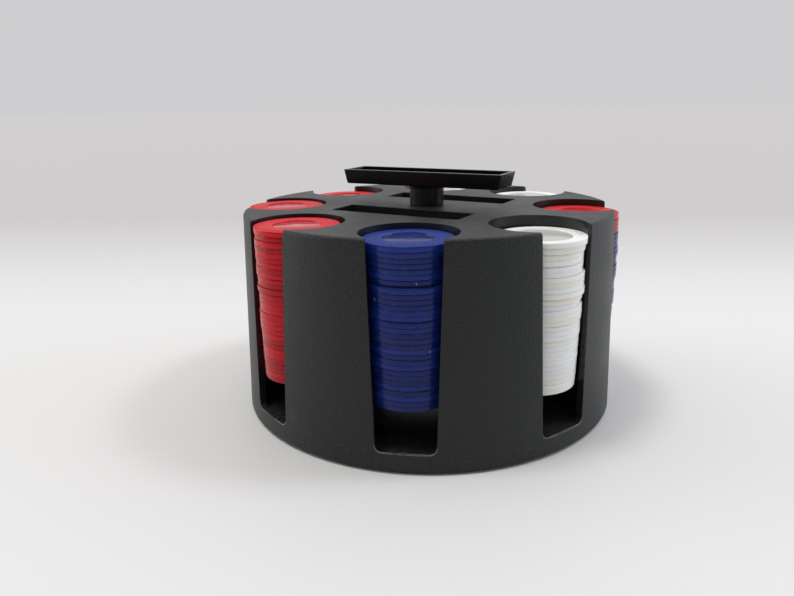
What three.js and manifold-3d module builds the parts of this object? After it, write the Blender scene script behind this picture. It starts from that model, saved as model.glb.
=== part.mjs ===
// Poker chip carousel: a moulded drum with eight chip wells and two card slots.
// The drum turns on a low base, and a T-handle on top carries and locks it.
// Units are millimetres. +Z is up. The origin is on the turning axis, at table level.
// +X runs along the two card slots.
import * as THREE from 'three';
import { mergeVertices } from 'three/addons/utils/BufferGeometryUtils.js';
import Module from 'manifold-3d';

const wasm = await Module();
wasm.setup();

// ---- driving dimensions --------------------------------------------------------
const GAP = 0.3;                  // air left between pieces that touch
const PAST = 2;                   // how far a cutter runs past the face it opens

const DRUM_BOTTOM = 1.2;          // height of the skirt's edge over the table
const DRUM_TOP = 98.4;
const DRUM_R_BOTTOM = 94.2;       // outer radius at the skirt's edge
const DRUM_R_TOP = 91;            // outer radius at the top, before its rounding
const EDGE_ROUND = 2;             // rounding of the drum's top outer edge
const SKIN = 2.6;                 // moulded wall thickness of the outer shell
const TOP_PLATE = 3;              // thickness of the drum's top
const WALL = 2.2;                 // wall thickness round wells, pockets and slots

const WELLS = 8;
const FIRST_WELL_TURN = -67.5;    // direction of well 1, in degrees from +X
const WELL_CENTRE = 73.6;         // axis of the drum to axis of a well
const WELL_R = 20.8;
const PEDESTAL_TOP = 27.5;        // what the chips stand on
const POCKET_FLOOR = 9.5;         // floor of the finger pockets and the card slots
const WINDOW_HALF_TOP = 15.25;    // half width of the window at the drum's top
const WINDOW_HALF_BOTTOM = 12.9;  // half width at the pocket floor
const WINDOW_CORNER = 3;          // rounding of the window's lower corners

const CARD_LENGTH = 68;         // card slot, along X
const CARD_WIDTH = 18.6;          // card slot, along Y
const CARD_OFFSET = 26.1;         // axis of the drum to the middle of a card slot
const CARD_CORNER = 1.5;

const UNDERSIDE = 7;              // level of the drum's lower faces inside the skirt
const RIB = 2;
const TRACK_INNER = 46;           // the drum runs on this ring
const TRACK_OUTER = 50.5;
const TRACK_RIB_HEIGHT = 6;
const HUB_R = 9;
const HUB_BOTTOM = 14;
const HUB_BORE_R = 4.3;

const BASE_R = 78.5;
const BASE_TOP = 5;
const BASE_UNDER = 2.4;
const BASE_RIM_STEP = 3;          // the rim is undercut by this much
const BASE_BOSS_R = 13.6;
const BASE_BOSS_TOP = 12.3;
const BASE_RECESS_R = 11.5;
const BASE_RECESS_TOP = 9.2;
const BASE_BORE_R = 4.2;
const RUNNER_THICKNESS = 1.1;     // slippery ring between base and drum
const FOOT_R = 7;
const FOOT_CENTRE = 64;
const FEET = 4;

const BOLT_R = 3;
const BOLT_HEAD_R = 5.6;          // across the corners of the hexagon head
const BOLT_HEAD_HEIGHT = 4;
const BOLT_HEAD_BOTTOM = 3.2;
const BOLT_TOP = 106;
const WASHER_R = 9;
const WASHER_THICKNESS = 1.1;

const HANDLE_TURN = 2;            // the handle as it was left, in degrees from the slots
const POST_R = 8.55;
const INSERT_R = 5;
const INSERT_HEIGHT = 6;
const BAR_BOTTOM = 108.3;
const BAR_TOP = 115.4;
const BAR_HALF_LENGTH = 42.9;     // at the rim
const BAR_HALF_WIDTH = 10;        // at the rim
const BAR_FLARE = 1.04;           // rim size over floor size
const BAR_WALL = 1.8;
const BAR_INNER_FLARE = 1.01;   // the trough inside opens a little more than the outside
const BAR_FLOOR = 2;

const CHIP_R = 19;
const CHIP_PITCH = 2.28;          // what one chip adds to a stack
const CHIP_RIM = 1.1;             // width of the raised rim
const CHIP_RIM_HEIGHT = 0.35;     // how far the rim stands over the face
const CHIP_CENTRE_R = 10.5;       // recessed disc in the middle of the face
const CHIP_CENTRE_DEPTH = 0.35;

const CIRCLE_STEPS = 96;
const WELL_STEPS = 40;
const SMALL_STEPS = 32;

const COLOURS = { red: 0xc01c2c, blue: 0x16308f, white: 0xe6e3dc };
// What stands in each well, from the bottom up: [colour, number of chips].
const WELL_CONTENTS = [
  [['blue', 30]],
  [['white', 29]],
  [['blue', 26], ['red', 4]],
  [['white', 30]],
  [['white', 30]],
  [['red', 30]],
  [['red', 30]],
  [['red', 30]],
];

// ---- materials -----------------------------------------------------------------
const material = (color, roughness, metalness) =>
  new THREE.MeshStandardMaterial({ color, roughness, metalness });
const blackTextured = () => material(0x2b2d2d, 0.55, 0);
const blackGloss = () => material(0x17191a, 0.3, 0);
const steel = () => material(0xb5b8ba, 0.35, 1);
const brass = () => material(0xb08d4a, 0.35, 1);
const rubber = () => material(0x3a3a3a, 0.9, 0);
const nylon = () => material(0xe8e6dc, 0.5, 0);
const chipPlastic = (colour) => material(COLOURS[colour], 0.35, 0);

// ---- solids --------------------------------------------------------------------
// A three.js geometry as a closed solid: seam vertices merged, collapsed triangles dropped.
function solid(geometry) {
  geometry.deleteAttribute('normal');
  geometry.deleteAttribute('uv');
  const merged = mergeVertices(geometry, 1e-4);
  const kept = [];
  for (let i = 0; i < merged.index.count; i += 3) {
    const [a, b, c] = [0, 1, 2].map((n) => merged.index.getX(i + n));
    if (a !== b && b !== c && c !== a) kept.push(a, b, c);
  }
  return new wasm.Manifold(new wasm.Mesh({
    numProp: 3,
    vertProperties: new Float32Array(merged.attributes.position.array),
    triVerts: new Uint32Array(kept),
  }));
}

function mesh(name, body, look) {
  const data = body.getMesh();
  const geometry = new THREE.BufferGeometry();
  geometry.setAttribute('position', new THREE.BufferAttribute(data.vertProperties, 3));
  geometry.setIndex(new THREE.BufferAttribute(data.triVerts, 1));
  geometry.computeVertexNormals();
  const result = new THREE.Mesh(geometry, look);
  result.name = name;
  return result;
}

const union = (bodies) => bodies.reduce((whole, body) => whole.add(body));
const cut = (body, cutters) => cutters.reduce((rest, cutter) => rest.subtract(cutter), body);

// A solid of revolution round Z from [radius, height] points, bottom to top.
function revolve(points, steps = CIRCLE_STEPS) {
  const profile = points.map(([r, z]) => new THREE.Vector2(r, z));
  return solid(new THREE.LatheGeometry(profile, steps).rotateX(Math.PI / 2));
}

const disc = (r, low, high, steps = WELL_STEPS) =>
  revolve([[0, low], [r, low], [r, high], [0, high]], steps);

const ring = (inner, outer, low, high, steps = CIRCLE_STEPS) =>
  revolve([[inner, low], [outer, low], [outer, high], [inner, high], [inner, low]], steps);

function block(xSize, ySize, low, high, x = 0, y = 0) {
  const box = new THREE.BoxGeometry(xSize, ySize, high - low);
  return solid(box.translate(x, y, (low + high) / 2));
}

// A block with rounded upright edges.
function roundedBlock(xSize, ySize, corner, low, high, x = 0, y = 0) {
  const [a, b] = [xSize / 2, ySize / 2];
  const outline = new THREE.Shape();
  outline.absarc(a - corner, b - corner, corner, 0, Math.PI / 2);
  outline.absarc(corner - a, b - corner, corner, Math.PI / 2, Math.PI);
  outline.absarc(corner - a, corner - b, corner, Math.PI, 1.5 * Math.PI);
  outline.absarc(a - corner, corner - b, corner, 1.5 * Math.PI, 2 * Math.PI);
  const options = { depth: high - low, bevelEnabled: false, curveSegments: 4 };
  return solid(new THREE.ExtrudeGeometry(outline, options).translate(x, y, low));
}

const inRadians = THREE.MathUtils.degToRad;
const wellTurn = (index) => FIRST_WELL_TURN + (360 / WELLS) * index;
// Moves a solid made at the origin to radius r, in the direction of a well.
const toWell = (body, index, r = WELL_CENTRE) =>
  body.translate([r, 0, 0]).rotate([0, 0, wellTurn(index)]);
const eachWell = (make) => Array.from({ length: WELLS }, (_, index) => make(index));

// ---- drum ----------------------------------------------------------------------
const drumRadius = (z) =>
  DRUM_R_BOTTOM + (DRUM_R_TOP - DRUM_R_BOTTOM) * (z - DRUM_BOTTOM) / (DRUM_TOP - DRUM_BOTTOM);

function drumOutside() {
  const arcSteps = 5;
  const centreZ = DRUM_TOP - EDGE_ROUND;
  const centreR = drumRadius(centreZ) - EDGE_ROUND;
  const points = [[0, DRUM_BOTTOM], [DRUM_R_BOTTOM, DRUM_BOTTOM]];
  for (let i = 0; i <= arcSteps; i += 1) {
    const angle = (Math.PI / 2) * (i / arcSteps);
    points.push([centreR + EDGE_ROUND * Math.cos(angle), centreZ + EDGE_ROUND * Math.sin(angle)]);
  }
  points.push([0, DRUM_TOP]);
  return revolve(points);
}

// The space inside the outer shell, open at the bottom.
function drumInside() {
  const low = DRUM_BOTTOM - PAST;
  const high = DRUM_TOP - TOP_PLATE;
  return revolve([
    [0, low], [drumRadius(low) - SKIN, low], [drumRadius(high) - SKIN, high], [0, high],
  ]);
}

// Everything that stands inside the shell and stays solid when the shell is hollowed.
function drumCore() {
  const high = DRUM_TOP - 1;
  const cardBox = (side) => roundedBlock(
    CARD_LENGTH + 2 * WALL, CARD_WIDTH + 2 * WALL, CARD_CORNER + WALL,
    UNDERSIDE, high, 0, side * CARD_OFFSET);
  const wellTubes = eachWell((index) => toWell(disc(WELL_R + WALL, UNDERSIDE, high), index));
  const radialRibs = eachWell((index) => {
    const from = TRACK_OUTER - 1;
    const to = drumRadius(UNDERSIDE) - SKIN / 2;
    const rib = block(to - from, RIB, UNDERSIDE, high, (from + to) / 2);
    return rib.rotate([0, 0, wellTurn(index) + 180 / WELLS]);
  });
  const hubRibs = [
    block(2 * TRACK_INNER + RIB, RIB, HUB_BOTTOM, high),
    block(RIB, 2 * CARD_OFFSET, HUB_BOTTOM, high),
  ];
  return union([
    disc(HUB_R, HUB_BOTTOM, high, SMALL_STEPS),
    ring(TRACK_INNER, TRACK_OUTER, UNDERSIDE, UNDERSIDE + TRACK_RIB_HEIGHT),
    cardBox(1), cardBox(-1), ...wellTubes, ...radialRibs, ...hubRibs,
  ]);
}

// The outer half of a well goes down to the pocket floor, so that fingers reach under the chips.
function well() {
  const shaft = disc(WELL_R, PEDESTAL_TOP, DRUM_TOP + PAST);
  const outerHalf = block(2 * WELL_R, 3 * WELL_R, 0, DRUM_TOP, WELL_R);
  return shaft.add(disc(WELL_R, POCKET_FLOOR, PEDESTAL_TOP + 1).intersect(outerHalf));
}

// Hollow under the pedestal, open at the bottom.
function pedestalHollow() {
  const innerHalf = block(2 * WELL_R, 3 * WELL_R, 0, DRUM_TOP, -WELL_R - WALL);
  return disc(WELL_R, UNDERSIDE - PAST, PEDESTAL_TOP - WALL).intersect(innerHalf);
}

// The upright window through the outer shell, a little wider at the top.
function windowCutter() {
  const high = DRUM_TOP + PAST;
  const slope = (WINDOW_HALF_TOP - WINDOW_HALF_BOTTOM) / (DRUM_TOP - POCKET_FLOOR);
  const halfAt = (z) => WINDOW_HALF_BOTTOM + slope * (z - POCKET_FLOOR);
  const half = WINDOW_HALF_BOTTOM;
  const cornerZ = POCKET_FLOOR + WINDOW_CORNER;
  const outline = new THREE.Shape();
  outline.moveTo(halfAt(high), high);
  outline.lineTo(-halfAt(high), high);
  outline.lineTo(-halfAt(cornerZ), cornerZ);
  outline.quadraticCurveTo(-half, POCKET_FLOOR, WINDOW_CORNER - half, POCKET_FLOOR);
  outline.lineTo(half - WINDOW_CORNER, POCKET_FLOOR);
  outline.quadraticCurveTo(half, POCKET_FLOOR, halfAt(cornerZ), cornerZ);
  const depth = DRUM_R_BOTTOM + PAST - WELL_CENTRE;
  const geometry = new THREE.ExtrudeGeometry(outline, { depth, bevelEnabled: false, curveSegments: 4 });
  // The outline's width lies along Y, its height along Z, and it is swept outwards along X.
  geometry.applyMatrix4(new THREE.Matrix4().makeBasis(
    new THREE.Vector3(0, 1, 0), new THREE.Vector3(0, 0, 1), new THREE.Vector3(1, 0, 0)));
  return solid(geometry);
}

function drum() {
  const cardSlot = (side) => roundedBlock(
    CARD_LENGTH, CARD_WIDTH, CARD_CORNER, POCKET_FLOOR, DRUM_TOP + PAST, 0, side * CARD_OFFSET);
  const shell = drumOutside().subtract(drumInside().subtract(drumCore()));
  return cut(shell, [
    ...eachWell((index) => toWell(well(), index)),
    ...eachWell((index) => toWell(pedestalHollow(), index)),
    ...eachWell((index) => toWell(windowCutter(), index)),
    cardSlot(1), cardSlot(-1),
    disc(HUB_BORE_R, HUB_BOTTOM - PAST, DRUM_TOP + PAST, SMALL_STEPS),
  ]);
}

// ---- base ----------------------------------------------------------------------
function turntableBase() {
  const trackTop = UNDERSIDE - 2 * GAP - RUNNER_THICKNESS;
  return revolve([
    [BASE_BORE_R, BASE_RECESS_TOP], [BASE_RECESS_R, BASE_RECESS_TOP], [BASE_RECESS_R, BASE_UNDER],
    [BASE_R - BASE_RIM_STEP, BASE_UNDER], [BASE_R - BASE_RIM_STEP, DRUM_BOTTOM], [BASE_R, DRUM_BOTTOM],
    [BASE_R, BASE_TOP], [TRACK_OUTER, BASE_TOP], [TRACK_OUTER, trackTop],
    [TRACK_INNER, trackTop], [TRACK_INNER, BASE_TOP], [BASE_BOSS_R, BASE_TOP],
    [BASE_BOSS_R, BASE_BOSS_TOP], [BASE_BORE_R, BASE_BOSS_TOP], [BASE_BORE_R, BASE_RECESS_TOP],
  ], 64);
}

function rubberFoot() {
  const top = BASE_UNDER - GAP;
  const chamfer = 0.6;
  return revolve([[0, 0], [FOOT_R - chamfer, 0], [FOOT_R, chamfer], [FOOT_R, top], [0, top]], 24);
}

function hubWasher() {
  const low = BASE_BOSS_TOP + GAP;
  return ring(BASE_BORE_R, WASHER_R, low, HUB_BOTTOM - GAP, SMALL_STEPS);
}

function base() {
  const runnerTop = UNDERSIDE - GAP;
  const group = new THREE.Group();
  group.add(mesh('turntable_base', turntableBase(), blackTextured()));
  group.add(mesh('runner_ring',
    ring(TRACK_INNER, TRACK_OUTER, runnerTop - RUNNER_THICKNESS, runnerTop, 64), nylon()));
  group.add(mesh('hub_washer', hubWasher(), steel()));
  for (let i = 0; i < FEET; i += 1) {
    const foot = mesh(`rubber_foot_${i + 1}`, rubberFoot(), rubber());
    const angle = inRadians(45 + (360 / FEET) * i);
    foot.position.set(FOOT_CENTRE * Math.cos(angle), FOOT_CENTRE * Math.sin(angle), 0);
    group.add(foot);
  }
  return group;
}

// ---- handle --------------------------------------------------------------------
// A rectangular trough that widens evenly towards its rim.
function flaredBlock(halfLength, halfWidth, low, high, flare) {
  const cornerR = Math.SQRT2;
  const frustum = new THREE.CylinderGeometry(cornerR, cornerR / flare, high - low, 4);
  frustum.rotateX(Math.PI / 2).rotateZ(Math.PI / 4);
  return solid(frustum.scale(halfLength, halfWidth, 1).translate(0, 0, (low + high) / 2));
}

function handleBar() {
  const outside = flaredBlock(BAR_HALF_LENGTH, BAR_HALF_WIDTH, BAR_BOTTOM, BAR_TOP, BAR_FLARE);
  const inside = flaredBlock(
    BAR_HALF_LENGTH - BAR_WALL, BAR_HALF_WIDTH - BAR_WALL,
    BAR_BOTTOM + BAR_FLOOR, BAR_TOP + PAST, BAR_FLARE * BAR_INNER_FLARE);
  return outside.subtract(inside);
}

function handlePost() {
  const low = DRUM_TOP + GAP;
  const high = BAR_BOTTOM - GAP;
  const bore = INSERT_R + GAP;
  return revolve([
    [bore, low], [POST_R, low], [POST_R, high], [0, high],
    [0, BOLT_TOP + 2 * GAP], [bore, BOLT_TOP + 2 * GAP], [bore, low],
  ], 40);
}

function centreBolt() {
  const headTop = BOLT_HEAD_BOTTOM + BOLT_HEAD_HEIGHT;
  const head = disc(BOLT_HEAD_R, BOLT_HEAD_BOTTOM, headTop, 6);
  return head.add(disc(BOLT_R, headTop - 1, BOLT_TOP, 24));
}

function handle() {
  const insertLow = DRUM_TOP + 2 * GAP;
  const washerTop = BASE_RECESS_TOP - GAP;
  const group = new THREE.Group();
  group.add(mesh('handle_bar', handleBar(), blackGloss()));
  group.add(mesh('handle_post', handlePost(), blackGloss()));
  group.add(mesh('thread_insert',
    ring(BOLT_R + GAP, INSERT_R, insertLow, insertLow + INSERT_HEIGHT, 24), brass()));
  group.add(mesh('centre_bolt', centreBolt(), steel()));
  group.add(mesh('bolt_washer',
    ring(BOLT_R + GAP, WASHER_R, washerTop - WASHER_THICKNESS, washerTop, 24), steel()));
  group.rotation.z = inRadians(HANDLE_TURN);
  return group;
}

// ---- chips ---------------------------------------------------------------------
// One chip: a flat ring with a raised rim and a shallow disc in the middle.
function topChip(height) {
  const face = height - CHIP_RIM_HEIGHT;
  return revolve([
    [0, 0], [CHIP_R, 0], [CHIP_R, height], [CHIP_R - CHIP_RIM, height],
    [CHIP_R - CHIP_RIM, face], [CHIP_CENTRE_R, face], [CHIP_CENTRE_R, face - CHIP_CENTRE_DEPTH],
    [0, face - CHIP_CENTRE_DEPTH],
  ], SMALL_STEPS);
}

// The stacks of one well, bottom up. The uppermost chip is a piece of its own.
function wellChips(index) {
  const group = new THREE.Group();
  const number = index + 1;
  const contents = WELL_CONTENTS[index];
  let z = PEDESTAL_TOP + GAP;
  contents.forEach(([colour, count], level) => {
    const isTop = level === contents.length - 1;
    const stacked = isTop ? count - 1 : count;
    const height = stacked * CHIP_PITCH - GAP;
    const pile = disc(CHIP_R, 0, height, SMALL_STEPS);
    const stack = mesh(`chips_${number}_${colour}`, pile, chipPlastic(colour));
    stack.position.z = z;
    group.add(stack);
    z += height + GAP;
    if (isTop) {
      const chip = mesh(`top_chip_${number}_${colour}`, topChip(CHIP_PITCH), chipPlastic(colour));
      chip.position.z = z;
      group.add(chip);
    }
  });
  const angle = inRadians(wellTurn(index));
  group.position.set(WELL_CENTRE * Math.cos(angle), WELL_CENTRE * Math.sin(angle), 0);
  return group;
}

// ---- the whole carousel --------------------------------------------------------
const group = new THREE.Group();
group.add(base());
group.add(mesh('drum', drum(), blackTextured()));
group.add(handle());
eachWell((index) => group.add(wellChips(index)));

export default group;
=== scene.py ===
import math
import random

import bmesh
import bpy
import numpy as np
from mathutils import Matrix, Vector


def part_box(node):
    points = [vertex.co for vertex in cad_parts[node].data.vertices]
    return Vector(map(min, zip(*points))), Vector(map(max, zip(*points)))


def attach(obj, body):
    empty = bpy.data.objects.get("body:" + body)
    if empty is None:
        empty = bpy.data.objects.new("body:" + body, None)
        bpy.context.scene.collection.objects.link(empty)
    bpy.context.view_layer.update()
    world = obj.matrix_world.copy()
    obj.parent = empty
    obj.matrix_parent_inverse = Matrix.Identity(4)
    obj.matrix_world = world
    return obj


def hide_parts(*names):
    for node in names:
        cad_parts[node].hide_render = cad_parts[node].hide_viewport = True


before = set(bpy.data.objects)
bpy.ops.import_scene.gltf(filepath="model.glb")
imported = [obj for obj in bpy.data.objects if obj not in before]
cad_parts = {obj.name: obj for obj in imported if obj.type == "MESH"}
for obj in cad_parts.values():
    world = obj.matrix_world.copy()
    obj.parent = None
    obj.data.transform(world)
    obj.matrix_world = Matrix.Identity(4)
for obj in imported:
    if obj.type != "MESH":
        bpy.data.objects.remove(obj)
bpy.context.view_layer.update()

MM = 0.001

# ---- places and sizes, from the frame --------------------------------------------
DRUM_LOW, DRUM_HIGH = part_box("drum")
DRUM_BOTTOM = DRUM_LOW.z
DRUM_TOP = DRUM_HIGH.z
DRUM_R_BOTTOM = DRUM_HIGH.x
DRUM_R_TOP = DRUM_R_BOTTOM - 3.2 * MM      # the drum is drafted: narrower at the top
EDGE_ROUND = 1.4 * MM                      # rounding of the top outer edge
SKIN = 2.6 * MM                            # thickness of the outer wall
WALL = 2.2 * MM                            # thickness of the walls round wells and slots
TOP_PLATE = 3 * MM
UNDERSIDE = 7 * MM                         # height at which the inner walls and ribs start
LIP = 0.2 * MM                             # rounding of the moulded edges

RIB_HALF = 1 * MM                          # half the thickness of a rib
RIB_REACH = (49 * MM, 92 * MM)             # the ribs between the wells, from the axis
TRACK = (46 * MM, 50.5 * MM)               # the ring under the drum that runs on the turntable
TRACK_TOP = 13 * MM
HUB_R = 9 * MM
HUB_BOTTOM = 14 * MM
HUB_RIB_X = 47 * MM                        # the two ribs that cross at the hub
HUB_RIB_Y = 26 * MM
BORE_R = 4.3 * MM                          # the hole for the centre bolt
BORE_BOTTOM = 12 * MM
OVERLAP = 1 * MM                           # how far a cutter goes past the surface that it opens

WELLS = 8
FIRST_WELL_TURN = -67.5                    # degrees from +X; the others follow counter-clockwise
WELL_R = 20.8 * MM
WELL_R_LOW = 20.5 * MM                     # drafted, so that the mould lets go
PEDESTAL_TOP = 27.5 * MM
POCKET_FLOOR = 9.5 * MM
WINDOW_HALF_TOP = 15.25 * MM
WINDOW_HALF_BOTTOM = 12.9 * MM
WINDOW_CORNER = 3 * MM

CARD_HALF_X = 34.0 * MM
CARD_HALF_Y = 9.3 * MM
CARD_OFFSET = 26.1 * MM
CARD_CORNER = 1.5 * MM
CARD_FLOOR = 9.5 * MM


def box_middle(node):
    low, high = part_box(node)
    return (low + high) / 2


WELL_CENTRE = box_middle("chips_1_blue").to_2d().length
CHIP_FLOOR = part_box("chips_1_blue")[0].z
CHIP_R = (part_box("chips_1_blue")[1].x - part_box("chips_1_blue")[0].x) / 2


def well_turn(index):
    return math.radians(FIRST_WELL_TURN + 360 / WELLS * index)


def well_place(index, z=0.0):
    """The frame of a well: X points outwards, Y to the left of it, Z up."""
    turn = Matrix.Rotation(well_turn(index), 4, "Z")
    return turn @ Matrix.Translation((WELL_CENTRE, 0, z))


def slot_place(side):
    """The place of a card slot: -1 for the one on the -Y side, 1 for the other."""
    return Matrix.Translation((0, side * CARD_OFFSET, 0))


# ---- mesh helpers ----------------------------------------------------------------
def new_object(name, mesh):
    made = bpy.data.objects.new(name, mesh)
    bpy.context.scene.collection.objects.link(made)
    return made


def mesh_from(name, points, faces):
    """A mesh whose faces all point outwards."""
    mesh = bpy.data.meshes.new(name)
    mesh.from_pydata([tuple(p) for p in points], [], faces)
    work = bmesh.new()
    work.from_mesh(mesh)
    bmesh.ops.recalc_face_normals(work, faces=work.faces)
    work.to_mesh(mesh)
    work.free()
    return mesh


def rings_mesh(name, rings, capped=True):
    """A skin over loops of points that all have the same count, with its two ends closed if capped."""
    count = len(rings[0])
    points = [p for ring in rings for p in ring]
    faces = []
    for r in range(len(rings) - 1):
        a, b = r * count, (r + 1) * count
        for i in range(count):
            j = (i + 1) % count
            faces.append((a + i, a + j, b + j, b + i))
    if capped:
        last = (len(rings) - 1) * count
        faces.append(tuple(reversed(range(count))))
        faces.append(tuple(range(last, last + count)))
    return mesh_from(name, points, faces)


def turned_rings(profile, steps):
    """The loops that a profile of (radius, height) sweeps round Z."""
    angles = [2 * math.pi * i / steps for i in range(steps)]
    return [[(r * math.cos(a), r * math.sin(a), z) for a in angles] for r, z in profile]


def lathe(name, profile, steps):
    """A solid of revolution round Z. The profile's ends are capped flat."""
    return rings_mesh(name, turned_rings(profile, steps))


def ring_lathe(name, profile, steps):
    """The same for a closed profile that stays off the axis."""
    rings = turned_rings(profile, steps)
    mesh = rings_mesh(name, rings + [rings[0]], capped=False)
    tidy_mesh(mesh)
    return mesh


def arc(centre, radius, start, end, steps):
    """Points on an arc, angles in degrees."""
    for i in range(steps + 1):
        a = math.radians(start + (end - start) * i / steps)
        yield centre[0] + radius * math.cos(a), centre[1] + radius * math.sin(a)


def circle_outline(radius, steps):
    """[(point, outward normal)] round a circle."""
    angles = [2 * math.pi * i / steps for i in range(steps)]
    normals = [(math.cos(a), math.sin(a)) for a in angles]
    return [((radius * x, radius * y), (x, y)) for x, y in normals]


def rounded_outline(half_x, half_y, corner, steps=6):
    """[(point, outward normal)] round a rectangle with rounded corners."""
    out = []
    for quarter, (sx, sy) in enumerate([(1, 1), (-1, 1), (-1, -1), (1, -1)]):
        cx, cy = sx * (half_x - corner), sy * (half_y - corner)
        for i in range(steps + 1):
            a = math.radians(90 * quarter + 90 * i / steps)
            n = (math.cos(a), math.sin(a))
            out.append(((cx + corner * n[0], cy + corner * n[1]), n))
    return out


def flare(distance, lip):
    """How far a rounded edge has opened, at a distance past the start of its rounding."""
    d = min(max(distance, 0.0), lip)
    return lip - math.sqrt(max(lip * lip - d * d, 0.0))


def mouth_cutter(name, outline, low, shrink=0.0):
    """A cutter for a hole in the drum's top, narrower by shrink at its low end. Its mouth widens,
    which rounds the hole's edge."""
    steps = 5
    levels = [(low, -shrink)]
    levels += [(DRUM_TOP - LIP + LIP * i / steps, flare(LIP * i / steps, LIP)) for i in range(steps + 1)]
    levels += [(DRUM_TOP + 3 * OVERLAP, LIP)]
    rings = [[(p[0] + n[0] * out, p[1] + n[1] * out, z) for p, n in outline] for z, out in levels]
    return rings_mesh(name, rings)


def cut(target, cutters):
    """Takes each cutter out of target and removes the cutters."""
    for cutter in cutters:
        modifier = target.modifiers.new("cut", "BOOLEAN")
        modifier.operation = "DIFFERENCE"
        modifier.object = cutter
        modifier.solver = "MANIFOLD"
    bpy.context.view_layer.update()
    graph = bpy.context.evaluated_depsgraph_get()
    mesh = bpy.data.meshes.new_from_object(target.evaluated_get(graph))
    target.modifiers.clear()
    target.data = mesh
    for cutter in cutters:
        bpy.data.objects.remove(cutter)
    return target


MERGE = 0.004 * MM                         # points closer than this become one


def tidy_mesh(mesh):
    """Joins points that fall together and drops slivers."""
    work = bmesh.new()
    work.from_mesh(mesh)
    bmesh.ops.remove_doubles(work, verts=work.verts, dist=MERGE)
    bmesh.ops.dissolve_degenerate(work, edges=work.edges, dist=MERGE)
    work.to_mesh(mesh)
    work.free()


def shade(obj, sharp_angle, weighted=True):
    """Smooth shading, with edges sharper than the angle, in degrees, kept crisp."""
    mesh = obj.data
    work = bmesh.new()
    work.from_mesh(mesh)
    limit = math.radians(sharp_angle)
    for face in work.faces:
        face.smooth = True
    for edge in work.edges:
        edge.smooth = edge.is_manifold and edge.calc_face_angle(0.0) < limit
    work.to_mesh(mesh)
    work.free()
    if weighted:
        modifier = obj.modifiers.new("weighted normals", "WEIGHTED_NORMAL")
        modifier.keep_sharp = True
        modifier.weight = 100
    return obj


# ---- materials -------------------------------------------------------------------
def set_range(node, low, high, out_low, out_high):
    """Sets the four numbers of a Map Range node."""
    for key, number in (("From Min", low), ("From Max", high), ("To Min", out_low), ("To Max", out_high)):
        node.inputs[key].default_value = number


class Shader:
    """A node material with one Principled BSDF and short calls to feed it."""

    def __init__(self, name, roughness, specular=0.5, metallic=0.0):
        self.material = bpy.data.materials.new(name)
        self.material.use_nodes = True
        self.tree = self.material.node_tree
        self.bsdf = self.tree.nodes["Principled BSDF"]
        self.bsdf.inputs["Roughness"].default_value = roughness
        self.bsdf.inputs["Specular IOR Level"].default_value = specular
        self.bsdf.inputs["Metallic"].default_value = metallic
        self.place = self.node("ShaderNodeTexCoord").outputs["Object"]

    def node(self, kind, settings=None, **inputs):
        made = self.tree.nodes.new(kind)
        for key, value in (settings or {}).items():
            setattr(made, key, value)
        for key, value in inputs.items():
            self.feed(made.inputs[key.replace("_", " ")], value)
        return made

    def feed(self, socket, value):
        if isinstance(value, bpy.types.NodeSocket):
            self.tree.links.new(value, socket)
        else:
            socket.default_value = value

    def noise(self, scale, detail, roughness=0.5):
        made = self.node("ShaderNodeTexNoise", Scale=scale, Detail=detail, Roughness=roughness)
        self.feed(made.inputs["Vector"], self.place)
        return made.outputs["Fac"]

    def cells(self, scale, feature="F1", smooth=None):
        """Distance to the middle of the nearest cell."""
        made = self.node("ShaderNodeTexVoronoi", {"feature": feature}, Scale=scale)
        self.feed(made.inputs["Vector"], self.place)
        if smooth is not None:
            made.inputs["Smoothness"].default_value = smooth
        return made.outputs["Distance"]

    def ramp(self, value, low, high, out_low=0.0, out_high=1.0):
        """A soft step: out_low where value is low or less, out_high where it is high or more."""
        made = self.node("ShaderNodeMapRange", {"interpolation_type": "SMOOTHSTEP"})
        set_range(made, low, high, out_low, out_high)
        self.feed(made.inputs["Value"], value)
        return made.outputs["Result"]

    def math(self, operation, a, b=0.0):
        made = self.node("ShaderNodeMath", {"operation": operation})
        self.feed(made.inputs[0], a)
        self.feed(made.inputs[1], b)
        return made.outputs[0]

    def mix(self, factor, a, b):
        made = self.node("ShaderNodeMix", {"data_type": "RGBA"})
        colour_sockets = {s.name: s for s in made.inputs if s.type == "RGBA"}
        self.feed(made.inputs["Factor"], factor)
        self.feed(colour_sockets["A"], a)
        self.feed(colour_sockets["B"], b)
        return next(s for s in made.outputs if s.type == "RGBA")

    def attribute(self, name):
        """A number that the mesh stores at its points."""
        return self.node("ShaderNodeAttribute", {"attribute_name": name}).outputs["Fac"]

    def facing_up(self):
        """1 on faces that face up, 0 on walls and undersides."""
        geometry = self.node("ShaderNodeNewGeometry").outputs["Normal"]
        return self.ramp(self.node("ShaderNodeSeparateXYZ", Vector=geometry).outputs["Z"], 0.6, 0.9)

    def bump(self, height, distance, strength, normal=None):
        made = self.node("ShaderNodeBump", Strength=strength, Distance=distance)
        self.feed(made.inputs["Height"], height)
        if normal is not None:
            self.feed(made.inputs["Normal"], normal)
        return made.outputs["Normal"]

    def finish(self, colour=None, roughness=None, normal=None):
        for key, value in (("Base Color", colour), ("Roughness", roughness), ("Normal", normal)):
            if value is not None:
                self.feed(self.bsdf.inputs[key], value)
        return self.material


def rgb(red, green, blue):
    return (red, green, blue, 1.0)


SUBSURFACE_RADIUS = (2.0 * MM, 1.2 * MM, 0.8 * MM)      # how far red, green and blue spread in a chip


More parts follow.
